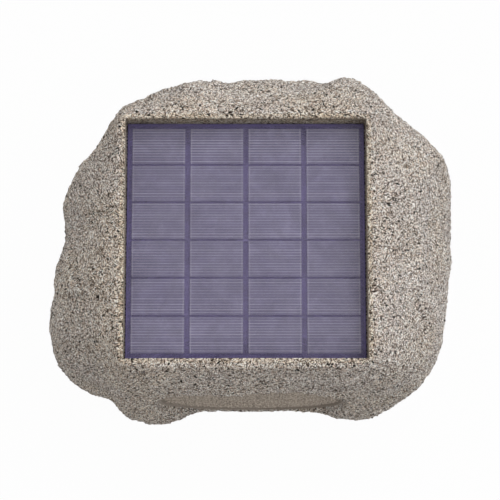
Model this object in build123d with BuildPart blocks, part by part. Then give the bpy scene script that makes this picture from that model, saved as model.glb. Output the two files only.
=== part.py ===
from build123d import *
import os
from math import atan2, cos, hypot, pi, radians, sin

# Rock shaped garden speaker with a solar panel in its top, in millimetres.
# +Z is up, the front with the grille faces -Y, the origin is on the floor under the middle of the rock.

# Rock shell
rock_width = 250.0
rock_depth = 211.0
rock_height = 190.0
wall = 5.0
ground_gap = 3.0
belly_height = 76.0
belly_x = -0.5
belly_y = 0.3
rim_width = 6.5
rim_squareness = 10
rim_rounding = 1.2
lobe_low = 40.0
lobe_top = 95.0
lump_height = 1.2
lump_count = 5
lump_twist = 5.0

# Solar panel in the top
panel_width = 133.4
panel_depth = 133.0
panel_x = -4.4
panel_y = -8.7
panel_recess = 10.0
panel_clearance = 0.6
cover_thickness = 1.5
board_thickness = 1.6
tape_thickness = 1.0
tape_width = 12.0
cell_columns = 4
cell_rows = 6
cell_gap_x = 3.0
cell_gap_y = 1.2
cell_thickness = 0.4
panel_margin_x = 2.9
panel_margin_y = 3.0

# Grille and the baffle behind it
grille_width = 114.0
grille_height = 104.0
grille_corner = 48.0
grille_x = -1.0
grille_y = -92.8
grille_z = 89.0
grille_lean = 2.5
frame_depth = 6.0
frame_width = 5.0
frame_lip = 2.0
mesh_thickness = 1.4
mesh_pitch = 8.6
mesh_hole = 6.4
mesh_rings = 5
baffle_thickness = 7.0

# Loudspeaker driver, radii from its axis
flange_radius = 52.0
driver_opening = 46.0
gasket_thickness = 1.5
basket_sheet = 1.2
basket_depth = 28.0
pot_radius = 28.6
bore_radius = 11.2
plate_radius = 27.0
plate_thickness = 4.0
magnet_radius = 30.0
magnet_thickness = 12.0
yoke_thickness = 5.0
pole_radius = 9.5
coil_radius = 10.2
cap_radius = 21.0
cap_top = -7.5
driver_screw_circle = 49.0

# Base plate and feet
plate_lift = 4.0
base_thickness = 4.0
seal_thickness = 1.5
ledge_width = 11.0
ledge_thickness = 4.5
foot_radius = 9.0
foot_sink = 1.0
base_clearance = 0.5

# Control panel at the back
control_width = 84.0
control_height = 34.0
control_corner = 8.0
control_y = 96.4
control_z = 60.0
control_plate_thickness = 3.0
control_seal_thickness = 1.0
hatch_width = 68.0
hatch_height = 20.0
button_pitch = 12.0
button_radius = 4.2
button_first = -24.0
button_stand = 1.8
button_depth = 5.0
plunger_radius = 1.7
plunger_length = 2.0
switch_size = 6.0
switch_height = 3.2
port_offset = 25.0
port_flap_width = 12.6
port_flap_height = 8.0
port_flap_thickness = 1.3

# Battery, main board and leads on the base plate
cell_radius = 9.2
cell_length = 65.0
holder_x = -45.0
holder_y = 0.0
main_board_x = 45.0
main_board_y = 5.0
main_board_width = 70.0
main_board_depth = 90.0
main_board_lift = 8.0
lead_radius = 1.8

# Outline of the rock seen from above, as shares of half the width and half the depth, from the right
# side around the back, the left side and the front; the third value is how far the two lobes at the
# front, which end below the grille's middle, stand out from the face above them
rock_plan = [
    (0.98, 0, 0), (0.985, 0.245, 0), (0.995, 0.448, 0), (0.86, 0.642, 0), (0.7, 0.754, 0),
    (0.6, 0.907, 0), (0.43, 0.983, 0), (0.21, 0.968, 0), (0, 0.999, 0), (-0.27, 0.958, 0),
    (-0.54, 0.836, 0), (-0.7, 0.652, 0), (-0.83, 0.469, 0), (-0.95, 0.295, 0), (-0.94, 0.061, 0),
    (-0.97, -0.132, 0), (-0.99, -0.469, 0), (-0.9, -0.723, 0), (-0.7, -0.886, 3), (-0.46, -1.009, 12),
    (-0.3, -0.927, 2.5), (-0.12, -0.918, 0.5), (0.14, -0.909, 1), (0.36, -0.925, 1.5), (0.55, -0.963, 7),
    (0.73, -0.881, 2), (0.91, -0.622, 0), (0.95, -0.316, 0),
]

# Height above the floor, share of the way from the belly to the rim, tuck under the belly
rock_levels = [
    (ground_gap, 0.00, 8.0),
    (ground_gap + 20, 0.00, 1.5),
    (lobe_low + 5, 0.00, 0.4),
    (belly_height, 0.00, 0.0),
    (rock_height - 85, 0.09, 0.0),
    (rock_height - 50, 0.27, 0.0),
    (rock_height - 20, 0.56, 0.0),
    (rock_height - 8, 0.76, 0.0),
    (rock_height, 1.00, 0.0),
]

panel_top = rock_height - panel_recess
board_top = panel_top - cover_thickness
tape_top = board_top - board_thickness
recess_floor = tape_top - tape_thickness
ledge_z = plate_lift + base_thickness + seal_thickness
base_top = plate_lift + base_thickness
cell_width = (panel_width - 2 * panel_margin_x - (cell_columns - 1) * cell_gap_x) / cell_columns
cell_depth = (panel_depth - 2 * panel_margin_y - (cell_rows - 1) * cell_gap_y) / cell_rows
cell_pitch_x = cell_width + cell_gap_x
cell_pitch_y = cell_depth + cell_gap_y


def level_at(height):
    """How far the rock closes in towards its rim, and tucks under its belly, at a height."""
    for low, high in zip(rock_levels, rock_levels[1:]):
        if height <= high[0]:
            share = (height - low[0]) / (high[0] - low[0])
            return low[1] + share * (high[1] - low[1]), low[2] + share * (high[2] - low[2])


def rock_outline(height, inset=0.0):
    """Points around the rock at a height, drawn in by inset towards the middle of the panel."""
    closing, tuck = level_at(height)
    half_x = panel_width / 2 + panel_clearance + rim_width
    half_y = panel_depth / 2 + panel_clearance + rim_width
    rise = (height - ground_gap) / (rock_height - ground_gap)
    lobe_fade = min(max((height - lobe_low) / (lobe_top - lobe_low), 0), 1)
    points = []
    for across, along, lobe in rock_plan:
        dx = belly_x + across * rock_width / 2 - panel_x
        dy = belly_y + along * rock_depth / 2 - panel_y
        corner = abs(dx / half_x) ** rim_squareness + abs(dy / half_y) ** rim_squareness
        to_rim = corner ** (-1 / rim_squareness)
        reach = 1 + closing * (to_rim - 1)
        lump = lump_height * sin(pi * rise) * sin(lump_count * atan2(dy, dx) + lump_twist * rise)
        reach += (lump - inset - tuck - lobe * lobe_fade * (1 - closing)) / hypot(dx, dy)
        points.append((panel_x + dx * reach, panel_y + dy * reach))
    return points


def outline_face(points, height):
    """Face inside a smooth closed line through the points."""
    with BuildSketch(Plane.XY.offset(height)) as face:
        with BuildLine():
            Spline(*points, periodic=True)
        make_face()
    return face.sketch


def base_points(places, inset):
    """Points beside the lower edge of the rock, one for each named place of its outline."""
    outline = rock_outline(ground_gap, inset)
    return [outline[place] for place in places]


def lead(points, bend):
    """A round lead along straight runs with bends between them."""
    with BuildPart() as cable:
        with BuildLine() as path:
            FilletPolyline(*points, radius=bend)
        with BuildSketch(Plane(origin=path.line @ 0, z_dir=path.line % 0)):
            Circle(lead_radius)
        sweep()
    return cable.part


grille_plane = Plane(
    origin=(grille_x, grille_y, grille_z),
    x_dir=(1, 0, 0),
    z_dir=(0, -cos(radians(grille_lean)), sin(radians(grille_lean))),
)
seat_plane = grille_plane.offset(-frame_depth)
driver_plane = seat_plane.offset(-baffle_thickness - gasket_thickness)
driver_axis = Axis(driver_plane.origin, driver_plane.z_dir)
profile_plane = Plane(
    origin=driver_plane.origin,
    x_dir=driver_plane.x_dir,
    z_dir=driver_plane.x_dir.cross(driver_plane.z_dir),
)
control_plane = Plane(origin=(0, control_y, control_z), x_dir=(-1, 0, 0), z_dir=(0, 1, 0))
control_back = -control_plate_thickness
control_seat = control_back - control_seal_thickness
button_back = -button_depth
switch_top = button_back - plunger_length + 0.6
switch_board_front = switch_top - switch_height
switch_board_back = switch_board_front - board_thickness

base_screw_points = base_points((0, 7, 10, 14, 18, 24), wall + ledge_width / 2)
foot_points = base_points((4, 11, 18, 25), wall + ledge_width + foot_radius + 3)
control_screw_x = control_width / 2 - 4.5
control_screw_y = control_height / 2 - 4.5
post_x = hatch_width / 2 - 4
post_y = hatch_height / 2 - 3
board_post_x = main_board_width / 2 - 5
board_post_y = main_board_depth / 2 - 5
holder_length = cell_length + 8
holder_width = 4 * cell_radius + 6
holder_post_y = holder_length / 2 + 5
frame_peg_x = grille_width / 2 - frame_width / 2
frame_peg_y = grille_height / 2 - frame_width / 2

# Rock: one hollow moulding with a recess in its top, a niche for the grille and one for the controls
with BuildPart() as rock_body:
    loft(sections=[outline_face(rock_outline(row[0]), row[0]) for row in rock_levels])
    fillet(rock_body.faces().sort_by(Axis.Z)[-1].edges(), rim_rounding)

cavity_levels = [
    (ledge_z + ledge_thickness, 1.0),
    (lobe_low + 5, 1.0),
    (belly_height, 1.0),
    (rock_height - 85, 1.05),
    (rock_height - 50, 1.2),
    (recess_floor - wall, 1.6),
]
with BuildPart() as rock_cavity:
    loft(sections=[outline_face(rock_outline(z, wall * share), z) for z, share in cavity_levels])

with BuildPart() as grille_boss:
    with BuildSketch(seat_plane.offset(-baffle_thickness)):
        RectangleRounded(
            grille_width + 2 * wall + 0.8, grille_height + 2 * wall + 0.8, grille_corner + wall + 0.4
        )
    extrude(amount=frame_depth + baffle_thickness + 30)
    add(rock_body.part, mode=Mode.INTERSECT)

with BuildPart() as control_boss:
    with BuildSketch(control_plane.offset(control_seat - wall)):
        RectangleRounded(control_width + 2 * wall, control_height + 2 * wall, control_corner + wall)
    extrude(amount=wall + 40)
    add(rock_body.part, mode=Mode.INTERSECT)

with BuildPart() as rock_shell:
    add(rock_body.part)
    add(rock_cavity.part, mode=Mode.SUBTRACT)
    add(grille_boss.part)
    add(control_boss.part)
    with BuildSketch(Plane.XY.offset(recess_floor)):
        with Locations((panel_x, panel_y)):
            RectangleRounded(panel_width + 2 * panel_clearance, panel_depth + 2 * panel_clearance, 0.8)
    extrude(amount=panel_recess * 4, mode=Mode.SUBTRACT)
    with Locations((panel_x, panel_y, recess_floor)):
        Hole(4.0, depth=2 * wall)
    with BuildSketch(seat_plane):
        RectangleRounded(grille_width + 0.8, grille_height + 0.8, grille_corner + 0.4)
    extrude(amount=frame_depth + 40, mode=Mode.SUBTRACT)
    with BuildSketch(seat_plane):
        Circle(driver_opening)
    extrude(amount=-2 * baffle_thickness, mode=Mode.SUBTRACT)
    with BuildSketch(seat_plane):
        with Locations((frame_peg_x, 0), (-frame_peg_x, 0), (0, frame_peg_y), (0, -frame_peg_y)):
            Circle(1.6)
    extrude(amount=-4.5, mode=Mode.SUBTRACT)
    with BuildSketch(seat_plane.offset(-baffle_thickness)):
        with PolarLocations(driver_screw_circle, 4, start_angle=45):
            Circle(1.8)
    extrude(amount=6, mode=Mode.SUBTRACT)
    with BuildSketch(control_plane.offset(control_seat)):
        RectangleRounded(control_width + 0.8, control_height + 0.8, control_corner + 0.4)
    extrude(amount=40, mode=Mode.SUBTRACT)
    with BuildSketch(control_plane.offset(control_seat)):
        RectangleRounded(hatch_width, hatch_height, 4)
    extrude(amount=-2 * wall, mode=Mode.SUBTRACT)
    with BuildSketch(control_plane.offset(control_seat)):
        with GridLocations(2 * control_screw_x, 2 * control_screw_y, 2, 2):
            Circle(1.3)
    extrude(amount=-4.4, mode=Mode.SUBTRACT)
    with BuildSketch(Plane.XY.offset(ledge_z)):
        with Locations(*base_screw_points):
            Circle(4.8)
    extrude(amount=20)
    add(outline_face(rock_outline(ground_gap, wall), ground_gap))
    extrude(amount=ledge_z - ground_gap, mode=Mode.SUBTRACT)
    add(outline_face(rock_outline(ground_gap, wall + ledge_width), ledge_z))
    extrude(amount=ledge_thickness, mode=Mode.SUBTRACT)
    with BuildSketch(Plane.XY.offset(ledge_z)):
        with Locations(*base_screw_points):
            Circle(1.7)
    extrude(amount=15, mode=Mode.SUBTRACT)

# Solar panel: a board on a ring of tape, its cells, and a clear sheet moulded over them
with BuildPart() as panel_tape:
    with BuildSketch(Plane.XY.offset(recess_floor)):
        with Locations((panel_x, panel_y)):
            RectangleRounded(panel_width - 2, panel_depth - 2, 1.5)
            Rectangle(panel_width - 2 * tape_width, panel_depth - 2 * tape_width, mode=Mode.SUBTRACT)
    extrude(amount=tape_thickness)

with BuildPart() as solar_board:
    with BuildSketch(Plane.XY.offset(tape_top)):
        with Locations((panel_x, panel_y)):
            RectangleRounded(panel_width, panel_depth, 0.6)
    extrude(amount=board_thickness)

with BuildPart() as solar_cells:
    with BuildSketch(Plane.XY.offset(board_top)):
        with Locations((panel_x, panel_y)):
            with GridLocations(cell_pitch_x, cell_pitch_y, cell_columns, cell_rows):
                Rectangle(cell_width, cell_depth)
    extrude(amount=cell_thickness)

with BuildPart() as solar_cover:
    with BuildSketch(Plane.XY.offset(board_top)):
        with Locations((panel_x, panel_y)):
            RectangleRounded(panel_width, panel_depth, 0.6)
    extrude(amount=cover_thickness)
    with BuildSketch(Plane.XY.offset(board_top)):
        with Locations((panel_x, panel_y)):
            with GridLocations(cell_pitch_x, cell_pitch_y, cell_columns, cell_rows):
                Rectangle(cell_width + 0.2, cell_depth + 0.2)
    extrude(amount=cell_thickness + 0.1, mode=Mode.SUBTRACT)
    chamfer(solar_cover.faces().sort_by(Axis.Z)[-1].edges(), 0.4)

with BuildPart() as lead_grommet:
    with BuildSketch(Plane.XY.offset(recess_floor - wall)):
        with Locations((panel_x, panel_y)):
            Circle(3.95)
            Circle(lead_radius + 0.1, mode=Mode.SUBTRACT)
    extrude(amount=wall)
    with BuildSketch(Plane.XY.offset(recess_floor - wall)):
        with Locations((panel_x, panel_y)):
            Circle(6.5)
            Circle(lead_radius + 0.1, mode=Mode.SUBTRACT)
    extrude(amount=-1.5)

# Grille: a frame pressed into the niche with four pegs, and the mesh in its rebate
with BuildPart() as grille_frame:
    with BuildSketch(seat_plane):
        RectangleRounded(grille_width, grille_height, grille_corner)
        RectangleRounded(
            grille_width - 2 * frame_width,
            grille_height - 2 * frame_width,
            grille_corner - frame_width,
            mode=Mode.SUBTRACT,
        )
    extrude(amount=frame_depth)
    with BuildSketch(grille_plane):
        RectangleRounded(
            grille_width - 2 * frame_lip, grille_height - 2 * frame_lip, grille_corner - frame_lip
        )
    extrude(amount=-mesh_thickness - 0.8, mode=Mode.SUBTRACT)
    with BuildSketch(seat_plane):
        with Locations((frame_peg_x, 0), (-frame_peg_x, 0), (0, frame_peg_y), (0, -frame_peg_y)):
            Circle(1.55)
    extrude(amount=-4)

with BuildPart() as grille_mesh:
    with BuildSketch(grille_plane.offset(-mesh_thickness - 0.8)):
        RectangleRounded(
            grille_width - 2 * frame_lip - 0.4,
            grille_height - 2 * frame_lip - 0.4,
            grille_corner - frame_lip - 0.2,
        )
        Circle(mesh_hole / 2, mode=Mode.SUBTRACT)
        for ring in range(1, mesh_rings + 1):
            with PolarLocations(ring * mesh_pitch, 6 * ring):
                Circle(mesh_hole / 2, mode=Mode.SUBTRACT)
    extrude(amount=mesh_thickness)

# Driver: screwed to the back of the baffle over a foam gasket
with BuildPart() as driver_gasket:
    with BuildSketch(driver_plane):
        Circle(flange_radius)
        Circle(driver_opening + 0.5, mode=Mode.SUBTRACT)
        with PolarLocations(driver_screw_circle, 4, start_angle=45):
            Circle(2.0, mode=Mode.SUBTRACT)
    extrude(amount=gasket_thickness)

landing = -17.3
with BuildPart() as driver_basket:
    with BuildSketch(profile_plane):
        with BuildLine():
            Polyline(
                (driver_opening - 2.6, 0),
                (pot_radius + 2.8, landing),
                (pot_radius - basket_sheet, landing),
                (pot_radius - basket_sheet, basket_sheet - basket_depth),
                (bore_radius + 0.4, basket_sheet - basket_depth),
                (bore_radius + 0.4, -basket_depth),
                (pot_radius, -basket_depth),
                (pot_radius, landing - basket_sheet),
                (pot_radius + 3.6, landing - basket_sheet),
                (driver_opening - 1.4, -basket_sheet),
                (flange_radius, -basket_sheet),
                (flange_radius, 0),
                close=True,
            )
        make_face()
    revolve(axis=driver_axis)
    with Locations(driver_plane.offset(-9.5)):
        with PolarLocations(driver_opening - 4, 4):
            Box(20, 36, 11, mode=Mode.SUBTRACT)
    with BuildSketch(driver_plane):
        with PolarLocations(driver_screw_circle, 4, start_angle=45):
            Circle(2.0)
    extrude(amount=-basket_sheet, mode=Mode.SUBTRACT)

with BuildPart() as driver_top_plate:
    with BuildSketch(driver_plane.offset(-basket_depth)):
        Circle(plate_radius)
        Circle(bore_radius, mode=Mode.SUBTRACT)
    extrude(amount=-plate_thickness)

with BuildPart() as driver_magnet:
    with BuildSketch(driver_plane.offset(-basket_depth - plate_thickness)):
        Circle(magnet_radius)
        Circle(magnet_radius / 2, mode=Mode.SUBTRACT)
    extrude(amount=-magnet_thickness)

with BuildPart() as driver_yoke:
    with BuildSketch(driver_plane.offset(-basket_depth - plate_thickness - magnet_thickness)):
        Circle(plate_radius)
    extrude(amount=-yoke_thickness)
    with BuildSketch(driver_plane.offset(-basket_depth - plate_thickness - magnet_thickness)):
        Circle(pole_radius)
    extrude(amount=plate_thickness + magnet_thickness)
    with BuildSketch(driver_plane):
        Circle(3)
    extrude(amount=-2 * basket_depth, mode=Mode.SUBTRACT)

with BuildPart() as voice_coil:
    with BuildSketch(driver_plane.offset(-12)):
        Circle(coil_radius)
        Circle(coil_radius - 0.4, mode=Mode.SUBTRACT)
    extrude(amount=12 - basket_depth - plate_thickness - 1.5)
    with BuildSketch(driver_plane.offset(-basket_depth + 1.5)):
        Circle(coil_radius + 0.6)
        Circle(coil_radius - 0.4, mode=Mode.SUBTRACT)
    extrude(amount=-plate_thickness - 3)

cone_lip = driver_opening - 8.4
with BuildPart() as driver_cone:
    with BuildSketch(profile_plane):
        with BuildLine():
            Polyline(
                (coil_radius + 0.2, -13.2),
                (cone_lip - 2.8, -1.8),
                (cone_lip, -1.8),
                (cone_lip, -2.5),
                (cone_lip - 2.6, -2.5),
                (coil_radius + 0.2, -14.1),
                close=True,
            )
        make_face()
    revolve(axis=driver_axis)

with BuildPart() as dust_cap:
    with BuildSketch(profile_plane):
        with BuildLine():
            outer = CenterArc((0, cap_top - cap_radius), cap_radius, 53, 37)
            inner = CenterArc((0, cap_top - cap_radius), cap_radius - 0.5, 53, 37)
            Line(outer @ 0, inner @ 0)
            Line(outer @ 1, inner @ 1)
        make_face()
    revolve(axis=driver_axis)

with BuildPart() as driver_surround:
    with BuildSketch(profile_plane):
        with BuildLine():
            Line((cone_lip - 2.2, -1.8), (cone_lip, -1.8))
            ThreePointArc((cone_lip, -1.8), (driver_opening - 6, 2.6), (driver_opening - 3.6, 0))
            Line((driver_opening - 3.6, 0), (driver_opening, 0))
            Line((driver_opening, 0), (driver_opening, 0.8))
            Line((driver_opening, 0.8), (driver_opening - 3, 0.8))
            ThreePointArc(
                (driver_opening - 3, 0.8), (driver_opening - 6, 3.4), (cone_lip - 0.7, -1.0)
            )
            Line((cone_lip - 0.7, -1.0), (cone_lip - 2.2, -1.0))
            Line((cone_lip - 2.2, -1.0), (cone_lip - 2.2, -1.8))
        make_face()
    revolve(axis=driver_axis)

spider_edge = pot_radius - 1.0
spider_hub = coil_radius + 0.3
wave_radii = [spider_hub + (spider_edge - spider_hub) * step / 12 for step in range(13)]
wave_drop = [landing + 2.0 * (1 - step / 12) + 0.45 * (step % 2) for step in range(13)]
with BuildPart() as driver_spider:
    with BuildSketch(profile_plane):
        with BuildLine():
            Spline(*[(r, s) for r, s in zip(wave_radii, wave_drop)])
            Line((spider_edge, landing), (pot_radius + 2.4, landing))
            Line((pot_radius + 2.4, landing), (pot_radius + 2.4, landing + 0.6))
            Line((pot_radius + 2.4, landing + 0.6), (spider_edge, landing + 0.6))
            Spline(*[(r, s + 0.6) for r, s in zip(reversed(wave_radii), reversed(wave_drop))])
            Line((spider_hub, landing + 2.6), (spider_hub, landing + 2.0))
        make_face()
    revolve(axis=driver_axis)

with BuildPart() as driver_terminals:
    with Locations(driver_plane.offset(4 - basket_depth)):
        with Locations((0, -pot_radius - 3)):
            Box(16, 8, 7)
    with BuildSketch(driver_plane):
        Circle(pot_radius)
    extrude(amount=-2 * basket_depth, mode=Mode.SUBTRACT)

with BuildPart() as driver_screws:
    with BuildSketch(driver_plane.offset(-basket_sheet)):
        with PolarLocations(driver_screw_circle, 4, start_angle=45):
            Circle(3.2)
    extrude(amount=-2)
    with BuildSketch(driver_plane.offset(-basket_sheet)):
        with PolarLocations(driver_screw_circle, 4, start_angle=45):
            Circle(1.75)
    extrude(amount=basket_sheet + gasket_thickness + 5.5)

# Base plate: closes the rock from below over a foam seal, carries the battery and the main board
with BuildPart() as base_plate:
    add(outline_face(rock_outline(ground_gap, wall + base_clearance), plate_lift))
    extrude(amount=base_thickness)
    with BuildSketch(Plane.XY.offset(base_top)):
        with Locations((main_board_x, main_board_y)):
            with GridLocations(2 * board_post_x, 2 * board_post_y, 2, 2):
                Circle(3.5)
    extrude(amount=main_board_lift)
    with BuildSketch(Plane.XY.offset(base_top)):
        with Locations((holder_x, holder_y)):
            with GridLocations(1, 2 * holder_post_y, 1, 2):
                Circle(4.0)
    extrude(amount=6)
    with BuildSketch(Plane.XY.offset(base_top + main_board_lift)):
        with Locations((main_board_x, main_board_y)):
            with GridLocations(2 * board_post_x, 2 * board_post_y, 2, 2):
                Circle(1.25)
    extrude(amount=-main_board_lift, mode=Mode.SUBTRACT)
    with BuildSketch(Plane.XY.offset(base_top + 6)):
        with Locations((holder_x, holder_y)):
            with GridLocations(1, 2 * holder_post_y, 1, 2):
                Circle(1.25)
    extrude(amount=-7, mode=Mode.SUBTRACT)
    with BuildSketch(Plane.XY.offset(plate_lift)):
        with Locations(*foot_points):
            Circle(foot_radius + 0.2)
    extrude(amount=foot_sink, mode=Mode.SUBTRACT)
    with BuildSketch(Plane.XY.offset(plate_lift)):
        with Locations(*base_screw_points):
            Circle(3.6)
    extrude(amount=2.3, mode=Mode.SUBTRACT)
    with BuildSketch(Plane.XY.offset(plate_lift)):
        with Locations(*base_screw_points):
            Circle(2.0)
    extrude(amount=base_thickness, mode=Mode.SUBTRACT)

with BuildPart() as base_seal:
    add(outline_face(rock_outline(ground_gap, wall + 1), base_top))
    extrude(amount=seal_thickness)
    add(outline_face(rock_outline(ground_gap, wall + ledge_width - 1), base_top))
    extrude(amount=seal_thickness, mode=Mode.SUBTRACT)
    with BuildSketch(Plane.XY.offset(base_top)):
        with Locations(*base_screw_points):
            Circle(2.0)
    extrude(amount=seal_thickness, mode=Mode.SUBTRACT)

with BuildPart() as base_screws:
    with BuildSketch(Plane.XY.offset(plate_lift + 2.3)):
        with Locations(*base_screw_points):
            Circle(3.3)
    extrude(amount=-2)
    with BuildSketch(Plane.XY.offset(plate_lift + 2.3)):
        with Locations(*base_screw_points):
            Circle(1.65)
    extrude(amount=15)
    with BuildSketch(Plane.XY.offset(plate_lift + 0.3)):
        with Locations(*base_screw_points):
            Rectangle(4, 0.9)
            Rectangle(0.9, 4)
    extrude(amount=1.2, mode=Mode.SUBTRACT)

feet = []
for point in foot_points:
    with BuildPart() as foot:
        with Locations((point[0], point[1], 0)):
            Cylinder(foot_radius, plate_lift + foot_sink, align=(Align.CENTER, Align.CENTER, Align.MIN))
        fillet(foot.faces().sort_by(Axis.Z)[0].edges(), 1.2)
    feet.append(foot.part)

# Battery: two round cells lying in a tray that is screwed down at both ends
cell_z = base_top + 2.3 + cell_radius
with BuildPart() as battery_holder:
    with BuildSketch(Plane.XY.offset(base_top)):
        with Locations((holder_x, holder_y)):
            RectangleRounded(holder_width, holder_length, 2)
    extrude(amount=13)
    with BuildSketch(Plane.XY.offset(base_top + 6)):
        with Locations((holder_x, holder_y)):
            RectangleRounded(12, holder_length + 20, 3)
    extrude(amount=3)
    with BuildSketch(Plane.XZ.offset(-holder_y)):
        with Locations((holder_x, cell_z)):
            with GridLocations(2 * cell_radius + 1, 1, 2, 1):
                Circle(cell_radius + 0.3)
    extrude(amount=cell_length / 2 + 0.5, both=True, mode=Mode.SUBTRACT)
    with BuildSketch(Plane.XY.offset(base_top + 6)):
        with Locations((holder_x, holder_y)):
            with GridLocations(1, 2 * holder_post_y, 1, 2):
                Circle(1.5)
    extrude(amount=3, mode=Mode.SUBTRACT)

with BuildPart() as battery_cells:
    with BuildSketch(Plane.XZ.offset(-holder_y)):
        with Locations((holder_x, cell_z)):
            with GridLocations(2 * cell_radius + 1, 1, 2, 1):
                Circle(cell_radius)
    extrude(amount=cell_length / 2, both=True)

with BuildPart() as battery_screws:
    with BuildSketch(Plane.XY.offset(base_top + 9)):
        with Locations((holder_x, holder_y)):
            with GridLocations(1, 2 * holder_post_y, 1, 2):
                Circle(2.6)
    extrude(amount=1.8)
    with BuildSketch(Plane.XY.offset(base_top + 9)):
        with Locations((holder_x, holder_y)):
            with GridLocations(1, 2 * holder_post_y, 1, 2):
                Circle(1.2)
    extrude(amount=-9)

# Main board: stands on four posts of the base plate
main_board_z = base_top + main_board_lift
main_board_top = main_board_z + board_thickness
connector_height = 7.0
connector_x = main_board_x - main_board_width / 2 + 13
connector_y = [main_board_y - 30 + 18 * row for row in range(4)]
with BuildPart() as main_board:
    with BuildSketch(Plane.XY.offset(main_board_z)):
        with Locations((main_board_x, main_board_y)):
            RectangleRounded(main_board_width, main_board_depth, 2)
            with GridLocations(2 * board_post_x, 2 * board_post_y, 2, 2):
                Circle(1.5, mode=Mode.SUBTRACT)
    extrude(amount=board_thickness)

with BuildPart() as board_screws:
    with BuildSketch(Plane.XY.offset(main_board_top)):
        with Locations((main_board_x, main_board_y)):
            with GridLocations(2 * board_post_x, 2 * board_post_y, 2, 2):
                Circle(2.6)
    extrude(amount=1.8)
    with BuildSketch(Plane.XY.offset(main_board_top)):
        with Locations((main_board_x, main_board_y)):
            with GridLocations(2 * board_post_x, 2 * board_post_y, 2, 2):
                Circle(1.2)
    extrude(amount=-board_thickness - main_board_lift + 1)

with BuildPart() as board_connectors:
    with BuildSketch(Plane.XY.offset(main_board_top)):
        with Locations(*[(connector_x, y) for y in connector_y]):
            Rectangle(7, 9)
    extrude(amount=connector_height)

with BuildPart() as board_capacitors:
    with BuildSketch(Plane.XY.offset(main_board_top)):
        with Locations((main_board_x + 24, main_board_y + 8)):
            with GridLocations(1, 13, 1, 3):
                Circle(5)
    extrude(amount=14)
    fillet(board_capacitors.faces().sort_by(Axis.Z)[-3:].edges(), 0.8)

with BuildPart() as wireless_module:
    with BuildSketch(Plane.XY.offset(main_board_top)):
        with Locations((main_board_x + 20, main_board_y - 22)):
            Rectangle(16, 22)
    extrude(amount=1)
    with BuildSketch(Plane.XY.offset(main_board_top + 1)):
        with Locations((main_board_x + 20, main_board_y - 19)):
            Rectangle(14, 14)
    extrude(amount=1.8)

with BuildPart() as heat_sink:
    with BuildSketch(Plane.XY.offset(main_board_top)):
        with Locations((main_board_x, main_board_y + 8)):
            Rectangle(22, 24)
    extrude(amount=3)
    with BuildSketch(Plane.XY.offset(main_board_top + 3)):
        with Locations((main_board_x, main_board_y + 8)):
            with GridLocations(4, 1, 6, 1):
                Rectangle(1.4, 24)
    extrude(amount=10)

# Control panel: a plate over a seal in the rear niche, with the switch board on posts behind it
button_places = [(button_first + button_pitch * step, 0) for step in range(4)]
flap_plane = Plane(origin=(-port_offset, control_y, control_z), x_dir=(0, 1, 0), z_dir=(1, 0, 0))
flap_middle = -0.2 - port_flap_thickness / 2
flap_hinge = (flap_middle, port_flap_height / 2)
with BuildPart() as control_plate:
    with BuildSketch(control_plane.offset(control_back)):
        RectangleRounded(control_width, control_height, control_corner)
    extrude(amount=control_plate_thickness)
    chamfer(control_plate.faces().sort_by(Axis.Y)[-1].edges(), 0.6)
    with BuildSketch(control_plane.offset(control_back)):
        with GridLocations(2 * post_x, 2 * post_y, 2, 2):
            Circle(2.3)
    extrude(amount=switch_board_front - control_back)
    with BuildSketch(control_plane.offset(switch_board_front)):
        with GridLocations(2 * post_x, 2 * post_y, 2, 2):
            Circle(1.05)
    extrude(amount=6, mode=Mode.SUBTRACT)
    with BuildSketch(control_plane):
        with Locations(*button_places):
            Circle(button_radius + 0.25)
        with Locations((button_first + 2.5 * button_pitch, post_y)):
            Circle(1.35)
        with GridLocations(2 * control_screw_x, 2 * control_screw_y, 2, 2):
            Circle(1.5)
    extrude(amount=-control_plate_thickness, mode=Mode.SUBTRACT)
    with BuildSketch(control_plane):
        with GridLocations(2 * control_screw_x, 2 * control_screw_y, 2, 2):
            Circle(2.9)
    extrude(amount=-1.6, mode=Mode.SUBTRACT)
    with BuildSketch(control_plane):
        with Locations((port_offset, 0)):
            Rectangle(port_flap_width + 0.6, port_flap_height + 2.0)
        with Locations((port_offset, -port_flap_height / 2 - 1.6)):
            SlotOverall(8, 3)
    extrude(amount=-port_flap_thickness - 0.4, mode=Mode.SUBTRACT)
    with BuildSketch(control_plane):
        with Locations((port_offset, 0)):
            SlotOverall(9.5, 3.8)
    extrude(amount=-control_plate_thickness, mode=Mode.SUBTRACT)
    with BuildSketch(flap_plane):
        with Locations(flap_hinge):
            Circle(0.55)
    extrude(amount=port_flap_width / 2 + 1.6, both=True, mode=Mode.SUBTRACT)

with BuildPart() as control_seal:
    with BuildSketch(control_plane.offset(control_seat)):
        RectangleRounded(control_width - 1, control_height - 1, control_corner - 0.5)
        RectangleRounded(hatch_width + 2, hatch_height + 2, 5, mode=Mode.SUBTRACT)
        with GridLocations(2 * control_screw_x, 2 * control_screw_y, 2, 2):
            Circle(1.5, mode=Mode.SUBTRACT)
    extrude(amount=control_seal_thickness)

with BuildPart() as control_screws:
    with BuildSketch(control_plane.offset(-1.6)):
        with GridLocations(2 * control_screw_x, 2 * control_screw_y, 2, 2):
            Circle(2.6)
    extrude(amount=1.4)
    with BuildSketch(control_plane.offset(-1.6)):
        with GridLocations(2 * control_screw_x, 2 * control_screw_y, 2, 2):
            Circle(1.25)
    extrude(amount=-6.4)
    with BuildSketch(control_plane.offset(-0.2)):
        with GridLocations(2 * control_screw_x, 2 * control_screw_y, 2, 2):
            Rectangle(3.2, 0.7)
            Rectangle(0.7, 3.2)
    extrude(amount=-0.8, mode=Mode.SUBTRACT)

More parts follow.
